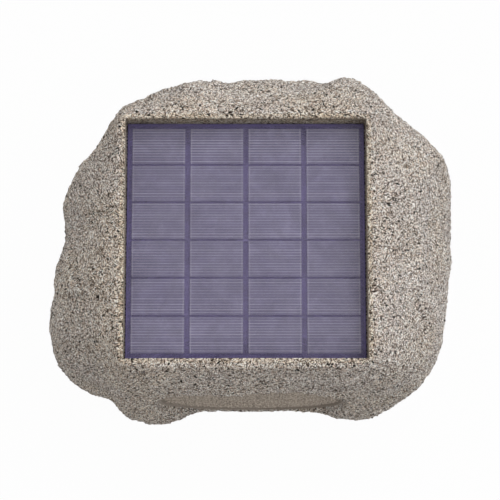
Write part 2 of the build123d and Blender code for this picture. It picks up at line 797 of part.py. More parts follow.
with BuildPart() as switch_board:
    with BuildSketch(control_plane.offset(switch_board_back)):
        Rectangle(hatch_width - 2, hatch_height - 2)
        with GridLocations(2 * post_x, 2 * post_y, 2, 2):
            Circle(1.2, mode=Mode.SUBTRACT)
    extrude(amount=board_thickness)

with BuildPart() as switch_board_screws:
    with BuildSketch(control_plane.offset(switch_board_back)):
        with GridLocations(2 * post_x, 2 * post_y, 2, 2):
            Circle(2.1)
    extrude(amount=-1.5)
    with BuildSketch(control_plane.offset(switch_board_back)):
        with GridLocations(2 * post_x, 2 * post_y, 2, 2):
            Circle(1.0)
    extrude(amount=board_thickness + 5)

with BuildPart() as switch_bodies:
    with BuildSketch(control_plane.offset(switch_board_front)):
        with Locations(*button_places):
            Rectangle(switch_size, switch_size)
    extrude(amount=switch_height)
    with BuildSketch(control_plane.offset(switch_top)):
        with Locations(*button_places):
            Circle(plunger_radius + 0.2)
    extrude(amount=-1.6, mode=Mode.SUBTRACT)

buttons = []
plungers = []
for place in button_places:
    with BuildPart() as button:
        with BuildSketch(control_plane.offset(button_stand)):
            with Locations(place):
                Circle(button_radius)
        extrude(amount=control_back - button_stand - 0.2)
        with BuildSketch(control_plane.offset(control_back - 0.2)):
            with Locations(place):
                Circle(button_radius + 1)
        extrude(amount=-1)
        with BuildSketch(control_plane.offset(button_back)):
            with Locations(place):
                Circle(plunger_radius + 0.4)
        extrude(amount=button_depth + control_back - 1.2)
        fillet(button.faces().sort_by(Axis.Y)[-1].edges(), 0.8)
    buttons.append(button.part)
    with BuildPart() as plunger:
        with BuildSketch(control_plane.offset(button_back)):
            with Locations(place):
                Circle(plunger_radius)
        extrude(amount=-plunger_length)
    plungers.append(plunger.part)

with BuildPart() as status_lens:
    with BuildSketch(control_plane.offset(0.3)):
        with Locations((button_first + 2.5 * button_pitch, post_y)):
            Circle(1.25)
    extrude(amount=switch_board_front + 1.4 - 0.3)
    with BuildSketch(control_plane.offset(control_back)):
        with Locations((button_first + 2.5 * button_pitch, post_y)):
            Circle(2.0)
    extrude(amount=-0.8)

with BuildPart() as status_light:
    with BuildSketch(control_plane.offset(switch_board_front)):
        with Locations((button_first + 2.5 * button_pitch, post_y)):
            Rectangle(2, 1.6)
    extrude(amount=1.2)

with BuildPart() as charge_socket:
    with BuildSketch(control_plane.offset(switch_board_front)):
        with Locations((port_offset, 0)):
            SlotOverall(9.0, 3.3)
    extrude(amount=-switch_board_front - port_flap_thickness - 0.6)
    with BuildSketch(control_plane.offset(-port_flap_thickness - 0.6)):
        with Locations((port_offset, 0)):
            SlotOverall(8.4, 2.7)
            Rectangle(6.6, 0.8, mode=Mode.SUBTRACT)
    extrude(amount=-5.6, mode=Mode.SUBTRACT)

with BuildPart() as port_cover:
    with BuildSketch(flap_plane):
        with Locations((flap_middle, 0)):
            Rectangle(port_flap_thickness, port_flap_height)
        with Locations(flap_hinge):
            Circle(port_flap_thickness / 2)
    extrude(amount=port_flap_width / 2, both=True)
    with BuildSketch(flap_plane):
        with Locations(flap_hinge):
            Circle(0.45)
    extrude(amount=port_flap_width / 2 + 1.4, both=True)

with BuildPart() as switch_connector:
    with BuildSketch(control_plane.offset(switch_board_back)):
        Rectangle(12, 6)
    extrude(amount=-5)

# Leads between the boards, the panel, the driver and the battery
connector_top = main_board_top + connector_height
terminal_back = driver_plane.offset(0.5 - basket_depth)
terminal_exit = terminal_back.from_local_coords((0, -pot_radius - 4, 0))
terminal_turn = terminal_back.from_local_coords((0, -pot_radius - 4, -14))
solar_lead = lead(
    [
        (panel_x, panel_y, tape_top),
        (panel_x, panel_y, 58),
        (connector_x, connector_y[1], 58),
        (connector_x, connector_y[1], connector_top),
    ],
    8,
)
speaker_lead = lead(
    [
        terminal_exit,
        terminal_turn,
        (connector_x, connector_y[0], terminal_turn.Z),
        (connector_x, connector_y[0], connector_top),
    ],
    5,
)
battery_lead = lead(
    [
        (holder_x + holder_width / 2, connector_y[2], base_top + 8),
        (holder_x + holder_width / 2 + 12, connector_y[2], base_top + 8),
        (holder_x + holder_width / 2 + 12, connector_y[2], 44),
        (connector_x, connector_y[2], 44),
        (connector_x, connector_y[2], connector_top),
    ],
    6,
)
control_lead = lead(
    [
        (0, control_y + switch_board_back - 5, control_z),
        (0, control_y + switch_board_back - 19, control_z),
        (connector_x, connector_y[3], control_z),
        (connector_x, connector_y[3], connector_top),
    ],
    6,
)

pieces = {
    "rock_shell": rock_shell.part,
    "panel_tape": panel_tape.part,
    "solar_board": solar_board.part,
    "solar_cells": solar_cells.part,
    "solar_cover": solar_cover.part,
    "lead_grommet": lead_grommet.part,
    "grille_frame": grille_frame.part,
    "grille_mesh": grille_mesh.part,
    "driver_gasket": driver_gasket.part,
    "driver_basket": driver_basket.part,
    "driver_top_plate": driver_top_plate.part,
    "driver_magnet": driver_magnet.part,
    "driver_yoke": driver_yoke.part,
    "voice_coil": voice_coil.part,
    "driver_cone": driver_cone.part,
    "dust_cap": dust_cap.part,
    "driver_surround": driver_surround.part,
    "driver_spider": driver_spider.part,
    "driver_terminals": driver_terminals.part,
    "driver_screws": driver_screws.part,
    "base_plate": base_plate.part,
    "base_seal": base_seal.part,
    "base_screws": base_screws.part,
    "foot_back_right": feet[0],
    "foot_back_left": feet[1],
    "foot_front_left": feet[2],
    "foot_front_right": feet[3],
    "battery_holder": battery_holder.part,
    "battery_cells": battery_cells.part,
    "battery_screws": battery_screws.part,
    "main_board": main_board.part,
    "board_screws": board_screws.part,
    "board_connectors": board_connectors.part,
    "board_capacitors": board_capacitors.part,
    "wireless_module": wireless_module.part,
    "heat_sink": heat_sink.part,
    "control_plate": control_plate.part,
    "control_seal": control_seal.part,
    "control_screws": control_screws.part,
    "switch_board": switch_board.part,
    "switch_board_screws": switch_board_screws.part,
    "switch_bodies": switch_bodies.part,
    "switch_connector": switch_connector.part,
    "power_button": buttons[0],
    "pairing_button": buttons[1],
    "volume_down_button": buttons[2],
    "volume_up_button": buttons[3],
    "power_plunger": plungers[0],
    "pairing_plunger": plungers[1],
    "volume_down_plunger": plungers[2],
    "volume_up_plunger": plungers[3],
    "status_lens": status_lens.part,
    "status_light": status_light.part,
    "charge_socket": charge_socket.part,
    "port_cover": port_cover.part,
    "solar_lead": solar_lead,
    "speaker_lead": speaker_lead,
    "battery_lead": battery_lead,
    "control_lead": control_lead,
}
os.makedirs("parts", exist_ok=True)
for label, piece in pieces.items():
    piece.label = label
    export_step(piece, os.path.join("parts", label + ".step"))
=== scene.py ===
from math import atan, cos, pi, radians, sin

import bmesh
import bpy
import numpy as np
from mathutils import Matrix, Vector, noise


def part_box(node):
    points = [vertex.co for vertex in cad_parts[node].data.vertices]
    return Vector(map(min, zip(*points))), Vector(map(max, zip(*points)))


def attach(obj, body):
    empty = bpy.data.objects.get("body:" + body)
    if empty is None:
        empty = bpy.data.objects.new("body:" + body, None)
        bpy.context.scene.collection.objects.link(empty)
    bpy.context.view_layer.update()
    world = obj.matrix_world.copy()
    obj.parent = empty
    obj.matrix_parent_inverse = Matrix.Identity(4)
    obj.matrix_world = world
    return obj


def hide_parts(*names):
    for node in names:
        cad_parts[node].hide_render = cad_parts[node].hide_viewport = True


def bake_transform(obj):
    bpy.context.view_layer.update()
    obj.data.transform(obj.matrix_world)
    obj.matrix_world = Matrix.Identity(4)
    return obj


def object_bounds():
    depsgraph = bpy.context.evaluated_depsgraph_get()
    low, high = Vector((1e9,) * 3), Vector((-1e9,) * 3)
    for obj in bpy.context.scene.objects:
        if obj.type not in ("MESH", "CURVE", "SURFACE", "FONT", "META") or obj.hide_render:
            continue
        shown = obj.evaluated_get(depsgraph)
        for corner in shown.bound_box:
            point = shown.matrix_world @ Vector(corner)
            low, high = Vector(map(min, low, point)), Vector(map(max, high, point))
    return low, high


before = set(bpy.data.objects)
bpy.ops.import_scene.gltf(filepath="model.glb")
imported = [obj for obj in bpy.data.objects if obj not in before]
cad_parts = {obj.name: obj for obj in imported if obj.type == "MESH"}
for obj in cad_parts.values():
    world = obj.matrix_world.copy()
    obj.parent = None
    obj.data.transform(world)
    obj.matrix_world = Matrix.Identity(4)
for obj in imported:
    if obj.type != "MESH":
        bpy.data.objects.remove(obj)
cad_low, cad_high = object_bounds()
scene = bpy.context.scene


# Rock shell: one hollow moulding of filled resin, cast in a soft mould taken from a real stone, so it
# carries the stone's lumps, pits and speckled grain. The panel, the grille and the control plate sit
# in recesses of this one piece.
rock_voxel = 0.00155
sharp_bend = 0.64
smooth_angle = radians(40)

# Broken faces, calm along the widest line and round the openings.
broken_faces = 21.0
broken_height = 0.011
broken_depth = 0.0028
broken_edge = 0.22
tilt_scatter = 40
widest_height = 0.076
widest_reach = 0.045
widest_share = 0.15
calm_reach = 0.02
calm_margin = 0.2

# The panel's rim: its strip and the step down from it, where it is yellowed, and where painted shade
# darkens the recess walls and the level top.
rim_strip = 0.0056
rim_step = 0.0012
rim_glaze = 0.0032
rim_band = 0.004
rim_round = 0.001
recess_spare = 0.0007
shoulder_start = 0.165
shoulder_rise = 0.015
level_start = 0.018
level_full = 0.003

# Small knobs, grit and crumbs all over.
rock_knob = 0.0006
knob_scale = 95
rock_grit = 0.00055
grit_scale = 290
rock_crumb = 0.0003
steep_crumbs = 1.5

# Knobs and dents round the side: degrees from the right, height, and reach in degrees.
side_knobs = [
    (7, 0.0017, 6), (25, 0.0013, 3), (60, 0.0022, 4), (65, -0.0030, 4), (71, 0.0012, 3),
    (81, 0.0018, 6), (98, -0.0022, 5), (111, 0.0034, 8), (129, -0.0018, 3), (135, 0.0020, 6),
    (156, 0.0028, 4), (169, -0.0022, 5), (188, 0.0022, 3), (194, -0.0020, 4), (208, 0.0015, 6),
    (225, -0.0030, 3), (231, 0.0016, 3), (241, -0.0042, 6), (251, 0.0024, 4), (300, 0.0015, 5),
    (320, 0.0014, 4), (353, -0.0015, 5),
]
knob_middle = 0.088
knob_rise = 0.38
knob_height = 0.05

# How deep the skin may go in, so that the wall stays whole, and how flat it runs out at the ground.
deepest_dent = 0.0036
thin_start = 0.01
thin_rise = 0.03
thin_share = 0.3
foot_line = 0.004
foot_rise = 0.008

# The blank that gives the stone its hollow, and the lean of the grille's niche.
blank_spare = 0.005
blank_below = 0.002
ground_edge = 0.0035
grille_lean = radians(2.5)
grille_out = Vector((0, -cos(grille_lean), sin(grille_lean)))


def new_piece(name, mesh, body):
    """Puts a mesh into the scene as a piece that moves with a body."""
    piece = bpy.data.objects.new(name, mesh)
    scene.collection.objects.link(piece)
    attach(piece, body)
    return piece


def worked_mesh(piece):
    """The piece's mesh with its modifiers carried out."""
    graph = bpy.context.evaluated_depsgraph_get()
    return bpy.data.meshes.new_from_object(piece.evaluated_get(graph))


def smooth_shading(mesh):
    """Lets the light run over a mesh without facets."""
    mesh.polygons.foreach_set("use_smooth", [True] * len(mesh.polygons))


def srgb(red, green, blue):
    """Linear colour from the 0 to 255 values that a picture holds."""
    shares = [value / 255 for value in (red, green, blue)]
    linear = [s / 12.92 if s <= 0.04045 else ((s + 0.055) / 1.055) ** 2.4 for s in shares]
    return (*linear, 1.0)


def add_node(tree, kind, **values):
    """A shader node with its settings and its unlinked sockets filled in."""
    made = tree.nodes.new(kind)
    for key, value in values.items():
        if hasattr(made, key):
            setattr(made, key, value)
        else:
            made.inputs[key.replace("_", " ").title()].default_value = value
    return made


def feed(tree, socket, value):
    """Links a socket to another node's output, or sets it to a fixed value."""
    if isinstance(value, bpy.types.NodeSocket):
        tree.links.new(value, socket)
    else:
        socket.default_value = value


def texture(tree, kind, place, **values):
    """A texture node that is read at a place."""
    made = add_node(tree, "ShaderNodeTex" + kind, **values)
    feed(tree, made.inputs["Vector"], place)
    return made


def parts_of(tree, kind, value):
    """The parts of a colour (Color) or of a place (XYZ), by their names."""
    made = tree.nodes.new("ShaderNodeSeparate" + kind)
    feed(tree, made.inputs[0], value)
    return made.outputs


def compute(tree, operation, *values, kind="Math"):
    """A number, or with kind VectorMath a vector, worked out from others."""
    made = add_node(tree, "ShaderNode" + kind, operation=operation)
    for socket, value in zip(made.inputs, values):
        feed(tree, socket, value)
    return made.outputs[0]


def remap(tree, value, low, high, to_low=0.0, to_high=1.0):
    """A number that goes from to_low to to_high while a value goes from low to high."""
    made = tree.nodes.new("ShaderNodeMapRange")
    names = ("Value", "From Min", "From Max", "To Min", "To Max")
    for name, number in zip(names, (value, low, high, to_low, to_high)):
        feed(tree, made.inputs[name], number)
    return made.outputs["Result"]


def mixed(tree, share, first, second, data_type="RGBA", **values):
    """Two colours or numbers, mixed by the second one's share."""
    made = add_node(tree, "ShaderNodeMix", data_type=data_type, **values)
    for name, value in (("Factor", share), ("A", first), ("B", second)):
        feed(tree, made.inputs[name], value)
    return made.outputs["Result"]


def colour_ramp(tree, value, stops):
    """The colour at a value, between (place, colour) stops."""
    made = tree.nodes.new("ShaderNodeValToRGB")
    elements = made.color_ramp.elements
    while len(elements) < len(stops):
        elements.new(0.5)
    for element, (place, colour) in zip(elements, stops):
        element.position = place
        element.color = colour
    feed(tree, made.inputs["Fac"], value)
    return made.outputs["Color"]


def blank_material(name):
    """A new material with only its surface shader and output, and the places on its piece."""
    material = bpy.data.materials.new(name)
    material.use_nodes = True
    tree = material.node_tree
    place = tree.nodes.new("ShaderNodeTexCoord").outputs["Object"]
    return material, tree, tree.nodes["Principled BSDF"].inputs, place


def effect_group(name, inputs, outputs):
    """A new node group with sockets given as name and kind, and those sockets inside it."""
    tree = bpy.data.node_groups.new(name, "ShaderNodeTree")
    for in_out, sockets in (("INPUT", inputs), ("OUTPUT", outputs)):
        for socket, kind in sockets.items():
            tree.interface.new_socket(socket, in_out=in_out, socket_type="NodeSocket" + kind)
    given = tree.nodes.new("NodeGroupInput").outputs
    return tree, given, tree.nodes.new("NodeGroupOutput").inputs


def stone_grain_group():
    """Crushed stone in resin: colour and height from slim chips that lie every way, sand between
    them, dark pits and pale flecks."""
    tree, given, out = effect_group(
        "stone_grain", {"Vector": "Vector"}, {"Color": "Color", "Height": "Float"}
    )
    place = given["Vector"]

    # Clumps of chips, each clump turned its own way.
    warp = texture(tree, "Noise", place, scale=1200.0, detail=1.0).outputs["Color"]
    bent = compute(tree, "MULTIPLY_ADD", warp, (0.0005, 0.0005, 0.0005), place, kind="VectorMath")
    clump_draw = texture(tree, "Voronoi", bent, scale=340.0, randomness=1.0).outputs["Color"]
    clump_angle = compute(tree, "MULTIPLY", parts_of(tree, "Color", clump_draw)["Red"], 2 * pi)
    turned = add_node(tree, "ShaderNodeVectorRotate", rotation_type="AXIS_ANGLE")
    for name, value in (("Vector", bent), ("Axis", clump_draw), ("Angle", clump_angle)):
        feed(tree, turned.inputs[name], value)
    slim = compute(tree, "MULTIPLY", turned.outputs["Vector"], (0.28, 1, 1), kind="VectorMath")
    chips = texture(tree, "Voronoi", slim, scale=2300.0, randomness=1.0)
    chip_draw = parts_of(tree, "Color", chips.outputs["Color"])

    # Tones of the chips and the sand, in paler and warmer patches.
    sand = texture(tree, "Noise", place, scale=1500.0, detail=2.0, roughness=0.8).outputs["Fac"]
    grain = mixed(tree, 0.78, sand, chip_draw["Red"], data_type="FLOAT")
    tone = colour_ramp(tree, grain, [
        (0.20, srgb(72, 62, 54)),
        (0.37, srgb(158, 146, 136)),
        (0.55, srgb(219, 207, 196)),
        (0.76, srgb(255, 251, 245)),
    ])
    patch = texture(tree, "Noise", place, scale=46.0, detail=3.0, roughness=0.6).outputs["Fac"]
    cloud = colour_ramp(tree, patch, [(0.34, (0.95, 0.95, 0.95, 1)), (0.66, (1.11, 1.11, 1.11, 1))])
    clouded = mixed(tree, 1.0, tone, cloud, blend_type="MULTIPLY")
    warmth = texture(tree, "Noise", place, scale=21.0, detail=2.0, roughness=0.55).outputs["Fac"]
    tint = colour_ramp(tree, warmth, [(0.38, (1.005, 0.972, 0.970, 1)), (0.62, (1.05, 0.988, 0.925, 1))])
    tinted = mixed(tree, 1.0, clouded, tint, blend_type="MULTIPLY")

    # Pale flecks, dark pits and gaps, and on each chip painted shade along its edge and a painted
    # highlight in its middle.
    flecks = remap(tree, chip_draw["Green"], 0.92, 0.95, 0.0, 0.9)
    flecked = mixed(tree, flecks, tinted, srgb(250, 245, 237))
    pit_noise = texture(tree, "Noise", place, scale=900.0, detail=2.0, roughness=0.6).outputs["Fac"]
    pits = remap(tree, pit_noise, 0.34, 0.30, 0.0, 0.95)
    gaps = remap(tree, chip_draw["Green"], 0.11, 0.08, 0.0, 0.9)
    holes = compute(tree, "MAXIMUM", pits, gaps)
    pitted = mixed(tree, holes, flecked, srgb(56, 48, 42))
    # Painted shade towards each chip's edge and a painted highlight at its middle.
    chip_shade_and_highlight = colour_ramp(
        tree, chips.outputs["Distance"], [(0.25, (1.45, 1.45, 1.45, 1)), (0.75, (0.64, 0.62, 0.60, 1))]
    )
    chip_shaded = mixed(tree, 1.0, pitted, chip_shade_and_highlight, blend_type="MULTIPLY", clamp_result=True)

    # Deep slim pits, almost black.
    deep_cells = texture(tree, "Voronoi", slim, scale=780.0, randomness=1.0)
    deep_draw = parts_of(tree, "Color", deep_cells.outputs["Color"])["Red"]
    deep_reach = remap(tree, deep_draw, 0.5, 1.0, 0.0, 0.48)
    deep_pits = compute(tree, "LESS_THAN", deep_cells.outputs["Distance"], deep_reach)
    blackened = mixed(tree, deep_pits, chip_shaded, srgb(24, 20, 17))
    all_holes = compute(tree, "MAXIMUM", holes, deep_pits)
    sunk = compute(tree, "ADD", chips.outputs["Distance"], all_holes)
    feed(tree, out["Color"], blackened)
    feed(tree, out["Height"], compute(tree, "SUBTRACT", grain, sunk))
    return tree


stone_grain = stone_grain_group()


def box_mask(tree, place, sides):
    """1 inside a box given as (axis, lowest, highest) sides, 0 outside it."""
    spot = parts_of(tree, "XYZ", place)
    mask = None
    for axis, low, high in sides:
        inside = compute(tree, "COMPARE", spot[axis], (low + high) / 2, (high - low) / 2)
        mask = compute(tree, "MULTIPLY", mask, inside) if mask else inside
    return mask


def stone_material():
    """The stone's grain, darkened with painted shade on its level top and on the walls of the
    panel's recess, and a little yellower along the panel's rim."""
    material, tree, surface, place = blank_material("cast_stone")
    grain = add_node(tree, "ShaderNodeGroup", node_tree=stone_grain)
    feed(tree, grain.inputs["Vector"], place)
    low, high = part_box("solar_board")
    top = cad_high[2]

    def round_panel(margin, bottom, lid):
        """1 in a box that is wider than the panel by a margin, 0 outside it."""
        return box_mask(tree, place, [
            ("X", low[0] - margin, high[0] + margin),
            ("Y", low[1] - margin, high[1] + margin),
            ("Z", bottom, lid),
        ])

    # Painted shade: the level top is darkened a little and the walls of the recess much more; the rim is
    # only tinted yellower.
    level = remap(tree, parts_of(tree, "XYZ", place)["Z"], top - level_start, top - level_full)
    rim = round_panel(rim_glaze, top - rim_band, top + rim_band)
    walls = round_panel(recess_spare, low[2], top - rim_round)
    colour = grain.outputs["Color"]
    top_painted_shade, yellowed, recess_painted_shade = (0.96, 0.945, 0.93, 1), (1.02, 0.995, 0.93, 1), (0.60, 0.58, 0.55, 1)
    for share, tint in ((level, top_painted_shade), (rim, yellowed), (walls, recess_painted_shade)):
        colour = mixed(tree, share, colour, tint, blend_type="MULTIPLY")
    bump = add_node(tree, "ShaderNodeBump", strength=0.8, distance=0.0008)
    feed(tree, bump.inputs["Height"], grain.outputs["Height"])
    feed(tree, surface["Base Color"], colour)
    feed(tree, surface["Normal"], bump.outputs["Normal"])
    feed(tree, surface["Roughness"], 0.92)
    feed(tree, surface["Specular IOR Level"], 0.25)
    return material


def joined_net(solid):
    """The solid's faces joined along their edges."""
    net = bmesh.new()
    net.from_mesh(solid)
    bmesh.ops.remove_doubles(net, verts=net.verts, dist=1e-6)
    return net


def skin_of(net):
    """Faces of the stone's outer skin: all that its widest point reaches without a sharp edge."""
    widest = max(net.faces, key=lambda face: face.calc_center_median().x)
    skin = {widest}
    fresh = [widest]
    while fresh:
        face = fresh.pop()
        for side in face.edges:
            for other in side.link_faces:
                if other not in skin and face.normal.dot(other.normal) > sharp_bend:
                    skin.add(other)
                    fresh.append(other)
    return skin


def broken_face(spot):
    """Height of the flat faces that a stone breaks into, each tilted its own way."""
    spread, seeds = noise.voronoi(spot * broken_faces)
    heights = []
    for seed in seeds[:2]:
        tilt = noise.cell_vector(seed * tilt_scatter) * 2 - Vector((1, 1, 1))
        heights.append((spot * broken_faces - seed).dot(tilt))
    share = 0.5 + 0.5 * min((spread[1] - spread[0]) / broken_edge, 1)
    return heights[0] * share + heights[1] * (1 - share)


def small_lumps(spot):
    """Knobs of the size of a fingertip, and grit."""
    knob = noise.fractal(spot * knob_scale + Vector((7, 3, 1)), 0.8, 2.0, 2)
    grit = noise.fractal(spot * grit_scale, 0.7, 2.0, 2)
    return rock_knob * knob + rock_grit * grit


def distance_from(node, points, axes):
    """How far points lie outside a CAD piece's box, along some of the axes."""
    low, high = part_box(node)
    gaps = [np.maximum(low[axis] - points[:, axis], points[:, axis] - high[axis]) for axis in axes]
    return np.max(gaps, axis=0)


def rising(value, start, length):
    """0 up to start, 1 from a length further on, even between them."""
    return np.clip((value - start) / length, 0, 1)


def stone_lift(points, facing):
    """How far the stone's skin moves: broken faces cut into it away from its widest line and its
    openings, knobs and dents at (degrees, height, reach) round its side, a step along the panel's
    rim, small lumps all over, and crumbs that stand out most where it is steep."""
    spots = [Vector(point) for point in points]
    height = points[:, 2]
    faces = np.array([min(broken_face(spot), 0) for spot in spots]) * broken_height
    off_widest = rising(np.abs(height - widest_height), 0, widest_reach) ** 1.5
    faces *= widest_share + (1 - widest_share) * off_widest
    for node in ("solar_cover", "grille_frame", "control_plate"):
        faces *= np.clip(distance_from(node, points, (0, 1, 2)) / calm_reach - calm_margin, 0, 1)
    turn = np.degrees(np.arctan2(points[:, 1], points[:, 0]))
    above = (height - knob_middle - knob_rise * points[:, 1]) / knob_height
    knobs = np.zeros(len(points))
    for middle, size, reach in side_knobs:
        aside = (turn - middle + 180) % 360 - 180
        knobs += size * np.exp(-((aside / reach) ** 2) - above ** 2)
    knobs *= rising(distance_from("grille_frame", points, (0, 1, 2)), 0, calm_reach)
    beyond_rim = rising(distance_from("solar_cover", points, (0, 1)), rim_strip, rock_voxel)
    step = rim_step * beyond_rim * rising(height, shoulder_start, shoulder_rise)
    lift = np.maximum(faces, -broken_depth) + knobs - step
    lift += np.array([small_lumps(spot) for spot in spots])
    steep = 1 - np.abs(facing[:, 2])
    crumbs = np.array([noise.cell(spot / rock_voxel) for spot in spots])
    lift += rock_crumb * (1 + steep_crumbs * steep) * crumbs
    deepest = deepest_dent * np.maximum(rising(height, thin_start, thin_rise), thin_share)
    return np.maximum(lift, -deepest) * rising(height, foot_line, foot_rise)


def full_stone(solid):
    """The skin alone, closed over its recesses, as an even net with the stone's lumps on it."""
    net = joined_net(solid)
    skin = skin_of(net)
    bmesh.ops.delete(net, geom=[face for face in net.faces if face not in skin], context="FACES")
    bmesh.ops.holes_fill(net, edges=[side for side in net.edges if side.is_boundary])
    bmesh.ops.recalc_face_normals(net, faces=net.faces)
    closed = bpy.data.meshes.new("full_stone")
    net.to_mesh(closed)
    net.free()
    stone = bpy.data.objects.new("full_stone", closed)
    scene.collection.objects.link(stone)
    even = stone.modifiers.new("even", "REMESH")
    even.mode = "VOXEL"
    even.voxel_size = rock_voxel
    mesh = worked_mesh(stone)
    stone.modifiers.clear()
    stone.data = mesh
    points = np.empty(len(mesh.vertices) * 3)
    facing = np.empty(len(mesh.vertices) * 3)
    mesh.vertices.foreach_get("co", points)
    mesh.vertices.foreach_get("normal", facing)
    points = points.reshape(-1, 3)
    facing = facing.reshape(-1, 3)
    moved = points + facing * stone_lift(points, facing)[:, None]
    mesh.vertices.foreach_set("co", moved.ravel())
    return stone


def shell_blank(solid):
    """The shell with its skin moved out, so that its hollow and its recesses run out of the stone."""
    net = joined_net(solid)
    skin = skin_of(net)
    openings = [Vector((0, 0, 1)), grille_out, Vector((0, 1, 0))]
    moves = {}
    for point in net.verts:
        around = [face for face in point.link_faces if face in skin]
        move = Vector()
        if around:
            facing = sum((face.normal * face.calc_area() for face in around), Vector()).normalized()
            if point.co.z < ground_edge:
                move = Vector((facing.x, facing.y, 0)).normalized() * blank_spare
            elif len(around) < len(point.link_faces):
                move = max(openings, key=facing.dot) * (2 * blank_spare)
            else:
                move = facing * blank_spare
        if point.co.z < ground_edge:
            move.z = -blank_below
        moves[point] = move
    for point, move in moves.items():
        point.co += move
    mesh = bpy.data.meshes.new("shell_blank")
    net.to_mesh(mesh)
    net.free()
    blank = bpy.data.objects.new("shell_blank", mesh)
    scene.collection.objects.link(blank)
    return blank


def rock_mesh():
    """The cast stone with the shell's hollow, recesses and holes in it."""
    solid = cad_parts["rock_shell"].data
    stone = full_stone(solid)
    blank = shell_blank(solid)
    hollow = stone.modifiers.new("hollow", "BOOLEAN")
    hollow.operation = "INTERSECT"
    hollow.solver = "MANIFOLD"
    hollow.object = blank
    mesh = worked_mesh(stone)
    bpy.data.objects.remove(stone)
    bpy.data.objects.remove(blank)
    mesh.materials.clear()
    smooth_shading(mesh)
    mesh.set_sharp_from_angle(angle=smooth_angle)
    return mesh


cast_stone = stone_material()
rock = new_piece("rock", rock_mesh(), "speaker")
rock.data.materials.append(cast_stone)
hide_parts("rock_shell")


# Solar panel: a dark laminated board with its cells, printed with fine silver fingers, under a clear
# moulded sheet. It lies on black foam tape in the rock's recess, and its lead goes down through a
# rubber grommet.
cells_low, cells_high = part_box("solar_cells")
cell_columns = 4
cell_rows = 6
fingers_per_cell = 13
cell_gap_across = 0.003
cell_gap_along = 0.0012
bus_width = 0.0006
bus_share = 0.28


def fine_grain_group():
    """Fine unevenness of a made surface: a tone that drifts over it, and the height of its grain."""
    tree, given, out = effect_group(
        "fine_grain",
        {"Vector": "Vector", "Grain Scale": "Float", "Drift Scale": "Float"},
        {"Tone": "Float", "Height": "Float"},
    )
    grain = texture(tree, "Noise", given["Vector"], detail=2.0, roughness=0.6)
    drift = texture(tree, "Noise", given["Vector"], detail=3.0, roughness=0.6)
    feed(tree, grain.inputs["Scale"], given["Grain Scale"])
    feed(tree, drift.inputs["Scale"], given["Drift Scale"])
    both = compute(tree, "ADD", grain.outputs["Fac"], drift.outputs["Fac"])
    feed(tree, out["Tone"], compute(tree, "MULTIPLY", both, 0.5))
    feed(tree, out["Height"], grain.outputs["Fac"])
    return tree


fine_grain = fine_grain_group()


def grained(name, dark, light, rough, grain=2200.0, depth=0.00008, metallic=0.0, drift=90.0):
    """A made surface between two tones, with roughness and fine bump from the same grain."""
    material, tree, surface, place = blank_material(name)
    effect = add_node(
        tree, "ShaderNodeGroup", node_tree=fine_grain, grain_scale=grain, drift_scale=drift
    )
    feed(tree, effect.inputs["Vector"], place)
    tone = effect.outputs["Tone"]
    bump = add_node(tree, "ShaderNodeBump", strength=0.6, distance=depth)
    feed(tree, bump.inputs["Height"], effect.outputs["Height"])
    colour = colour_ramp(tree, tone, [(0.35, srgb(*dark)), (0.65, srgb(*light))])
    polish = remap(tree, tone, 0.3, 0.7, rough - 0.07, min(rough + 0.07, 1.0))
    feed(tree, surface["Base Color"], colour)
    feed(tree, surface["Roughness"], polish)
    feed(tree, surface["Normal"], bump.outputs["Normal"])
    feed(tree, surface["Metallic"], metallic)
    return material


def regrained(material):
    """The tree, the surface shader's sockets and the places of a grained material, to work it on."""
    tree = material.node_tree
    place = next(node for node in tree.nodes if node.type == "TEX_COORD").outputs["Object"]
    return tree, tree.nodes["Principled BSDF"].inputs, place


def dress(material, *names):
    """Gives CAD pieces their finish."""
    for name in names:
        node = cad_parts[name]
        if not node.material_slots:
            node.data.materials.append(None)
        for place in node.material_slots:
            place.link = "OBJECT"
            place.material = material


def cell_material():
    """Mottled silicon with fine silver fingers across each cell, and a faint bus line at both ends."""
    material, tree, surface, place = blank_material("silicon_cell")
    spot = parts_of(tree, "XYZ", place)
    mottle = texture(tree, "Noise", place, scale=120.0, detail=4.0, roughness=0.65).outputs["Fac"]
    tone = colour_ramp(tree, mottle, [
        (0.30, srgb(87, 81, 114)),
        (0.52, srgb(99, 93, 126)),
        (0.72, srgb(116, 110, 142)),
    ])
    pitch = (cells_high[1] - cells_low[1] + cell_gap_along) / (cell_rows * (fingers_per_cell + 1))
    along = compute(tree, "MULTIPLY_ADD", spot["Y"], 1 / pitch, -cells_low[1] / pitch)
    finger_draw = add_node(tree, "ShaderNodeTexWhiteNoise", noise_dimensions="1D")
    feed(tree, finger_draw.inputs["W"], compute(tree, "FLOOR", along))
    finger_share = remap(tree, finger_draw.outputs["Value"], 0.0, 1.0, 0.18, 0.70)
    silver = remap(tree, compute(tree, "FRACT", along), 0.70, 0.80, 0.0, finger_share)
    pitch_across = (cells_high[0] - cells_low[0] + cell_gap_across) / cell_columns
    across = compute(tree, "MULTIPLY_ADD", spot["X"], 1 / pitch_across, -cells_low[0] / pitch_across)
    in_cell = compute(tree, "FRACT", across)
    for bus_place in (bus_width, pitch_across - cell_gap_across - bus_width):
        bus = compute(tree, "COMPARE", in_cell, bus_place / pitch_across, bus_width / 2 / pitch_across)
        silver = compute(tree, "MAXIMUM", silver, compute(tree, "MULTIPLY", bus, bus_share))
    feed(tree, surface["Base Color"], mixed(tree, silver, tone, srgb(192, 188, 203)))
    feed(tree, surface["Roughness"], 0.45)
    feed(tree, surface["Coat Weight"], 0.4)
    feed(tree, surface["Coat Roughness"], 0.25)
    return material


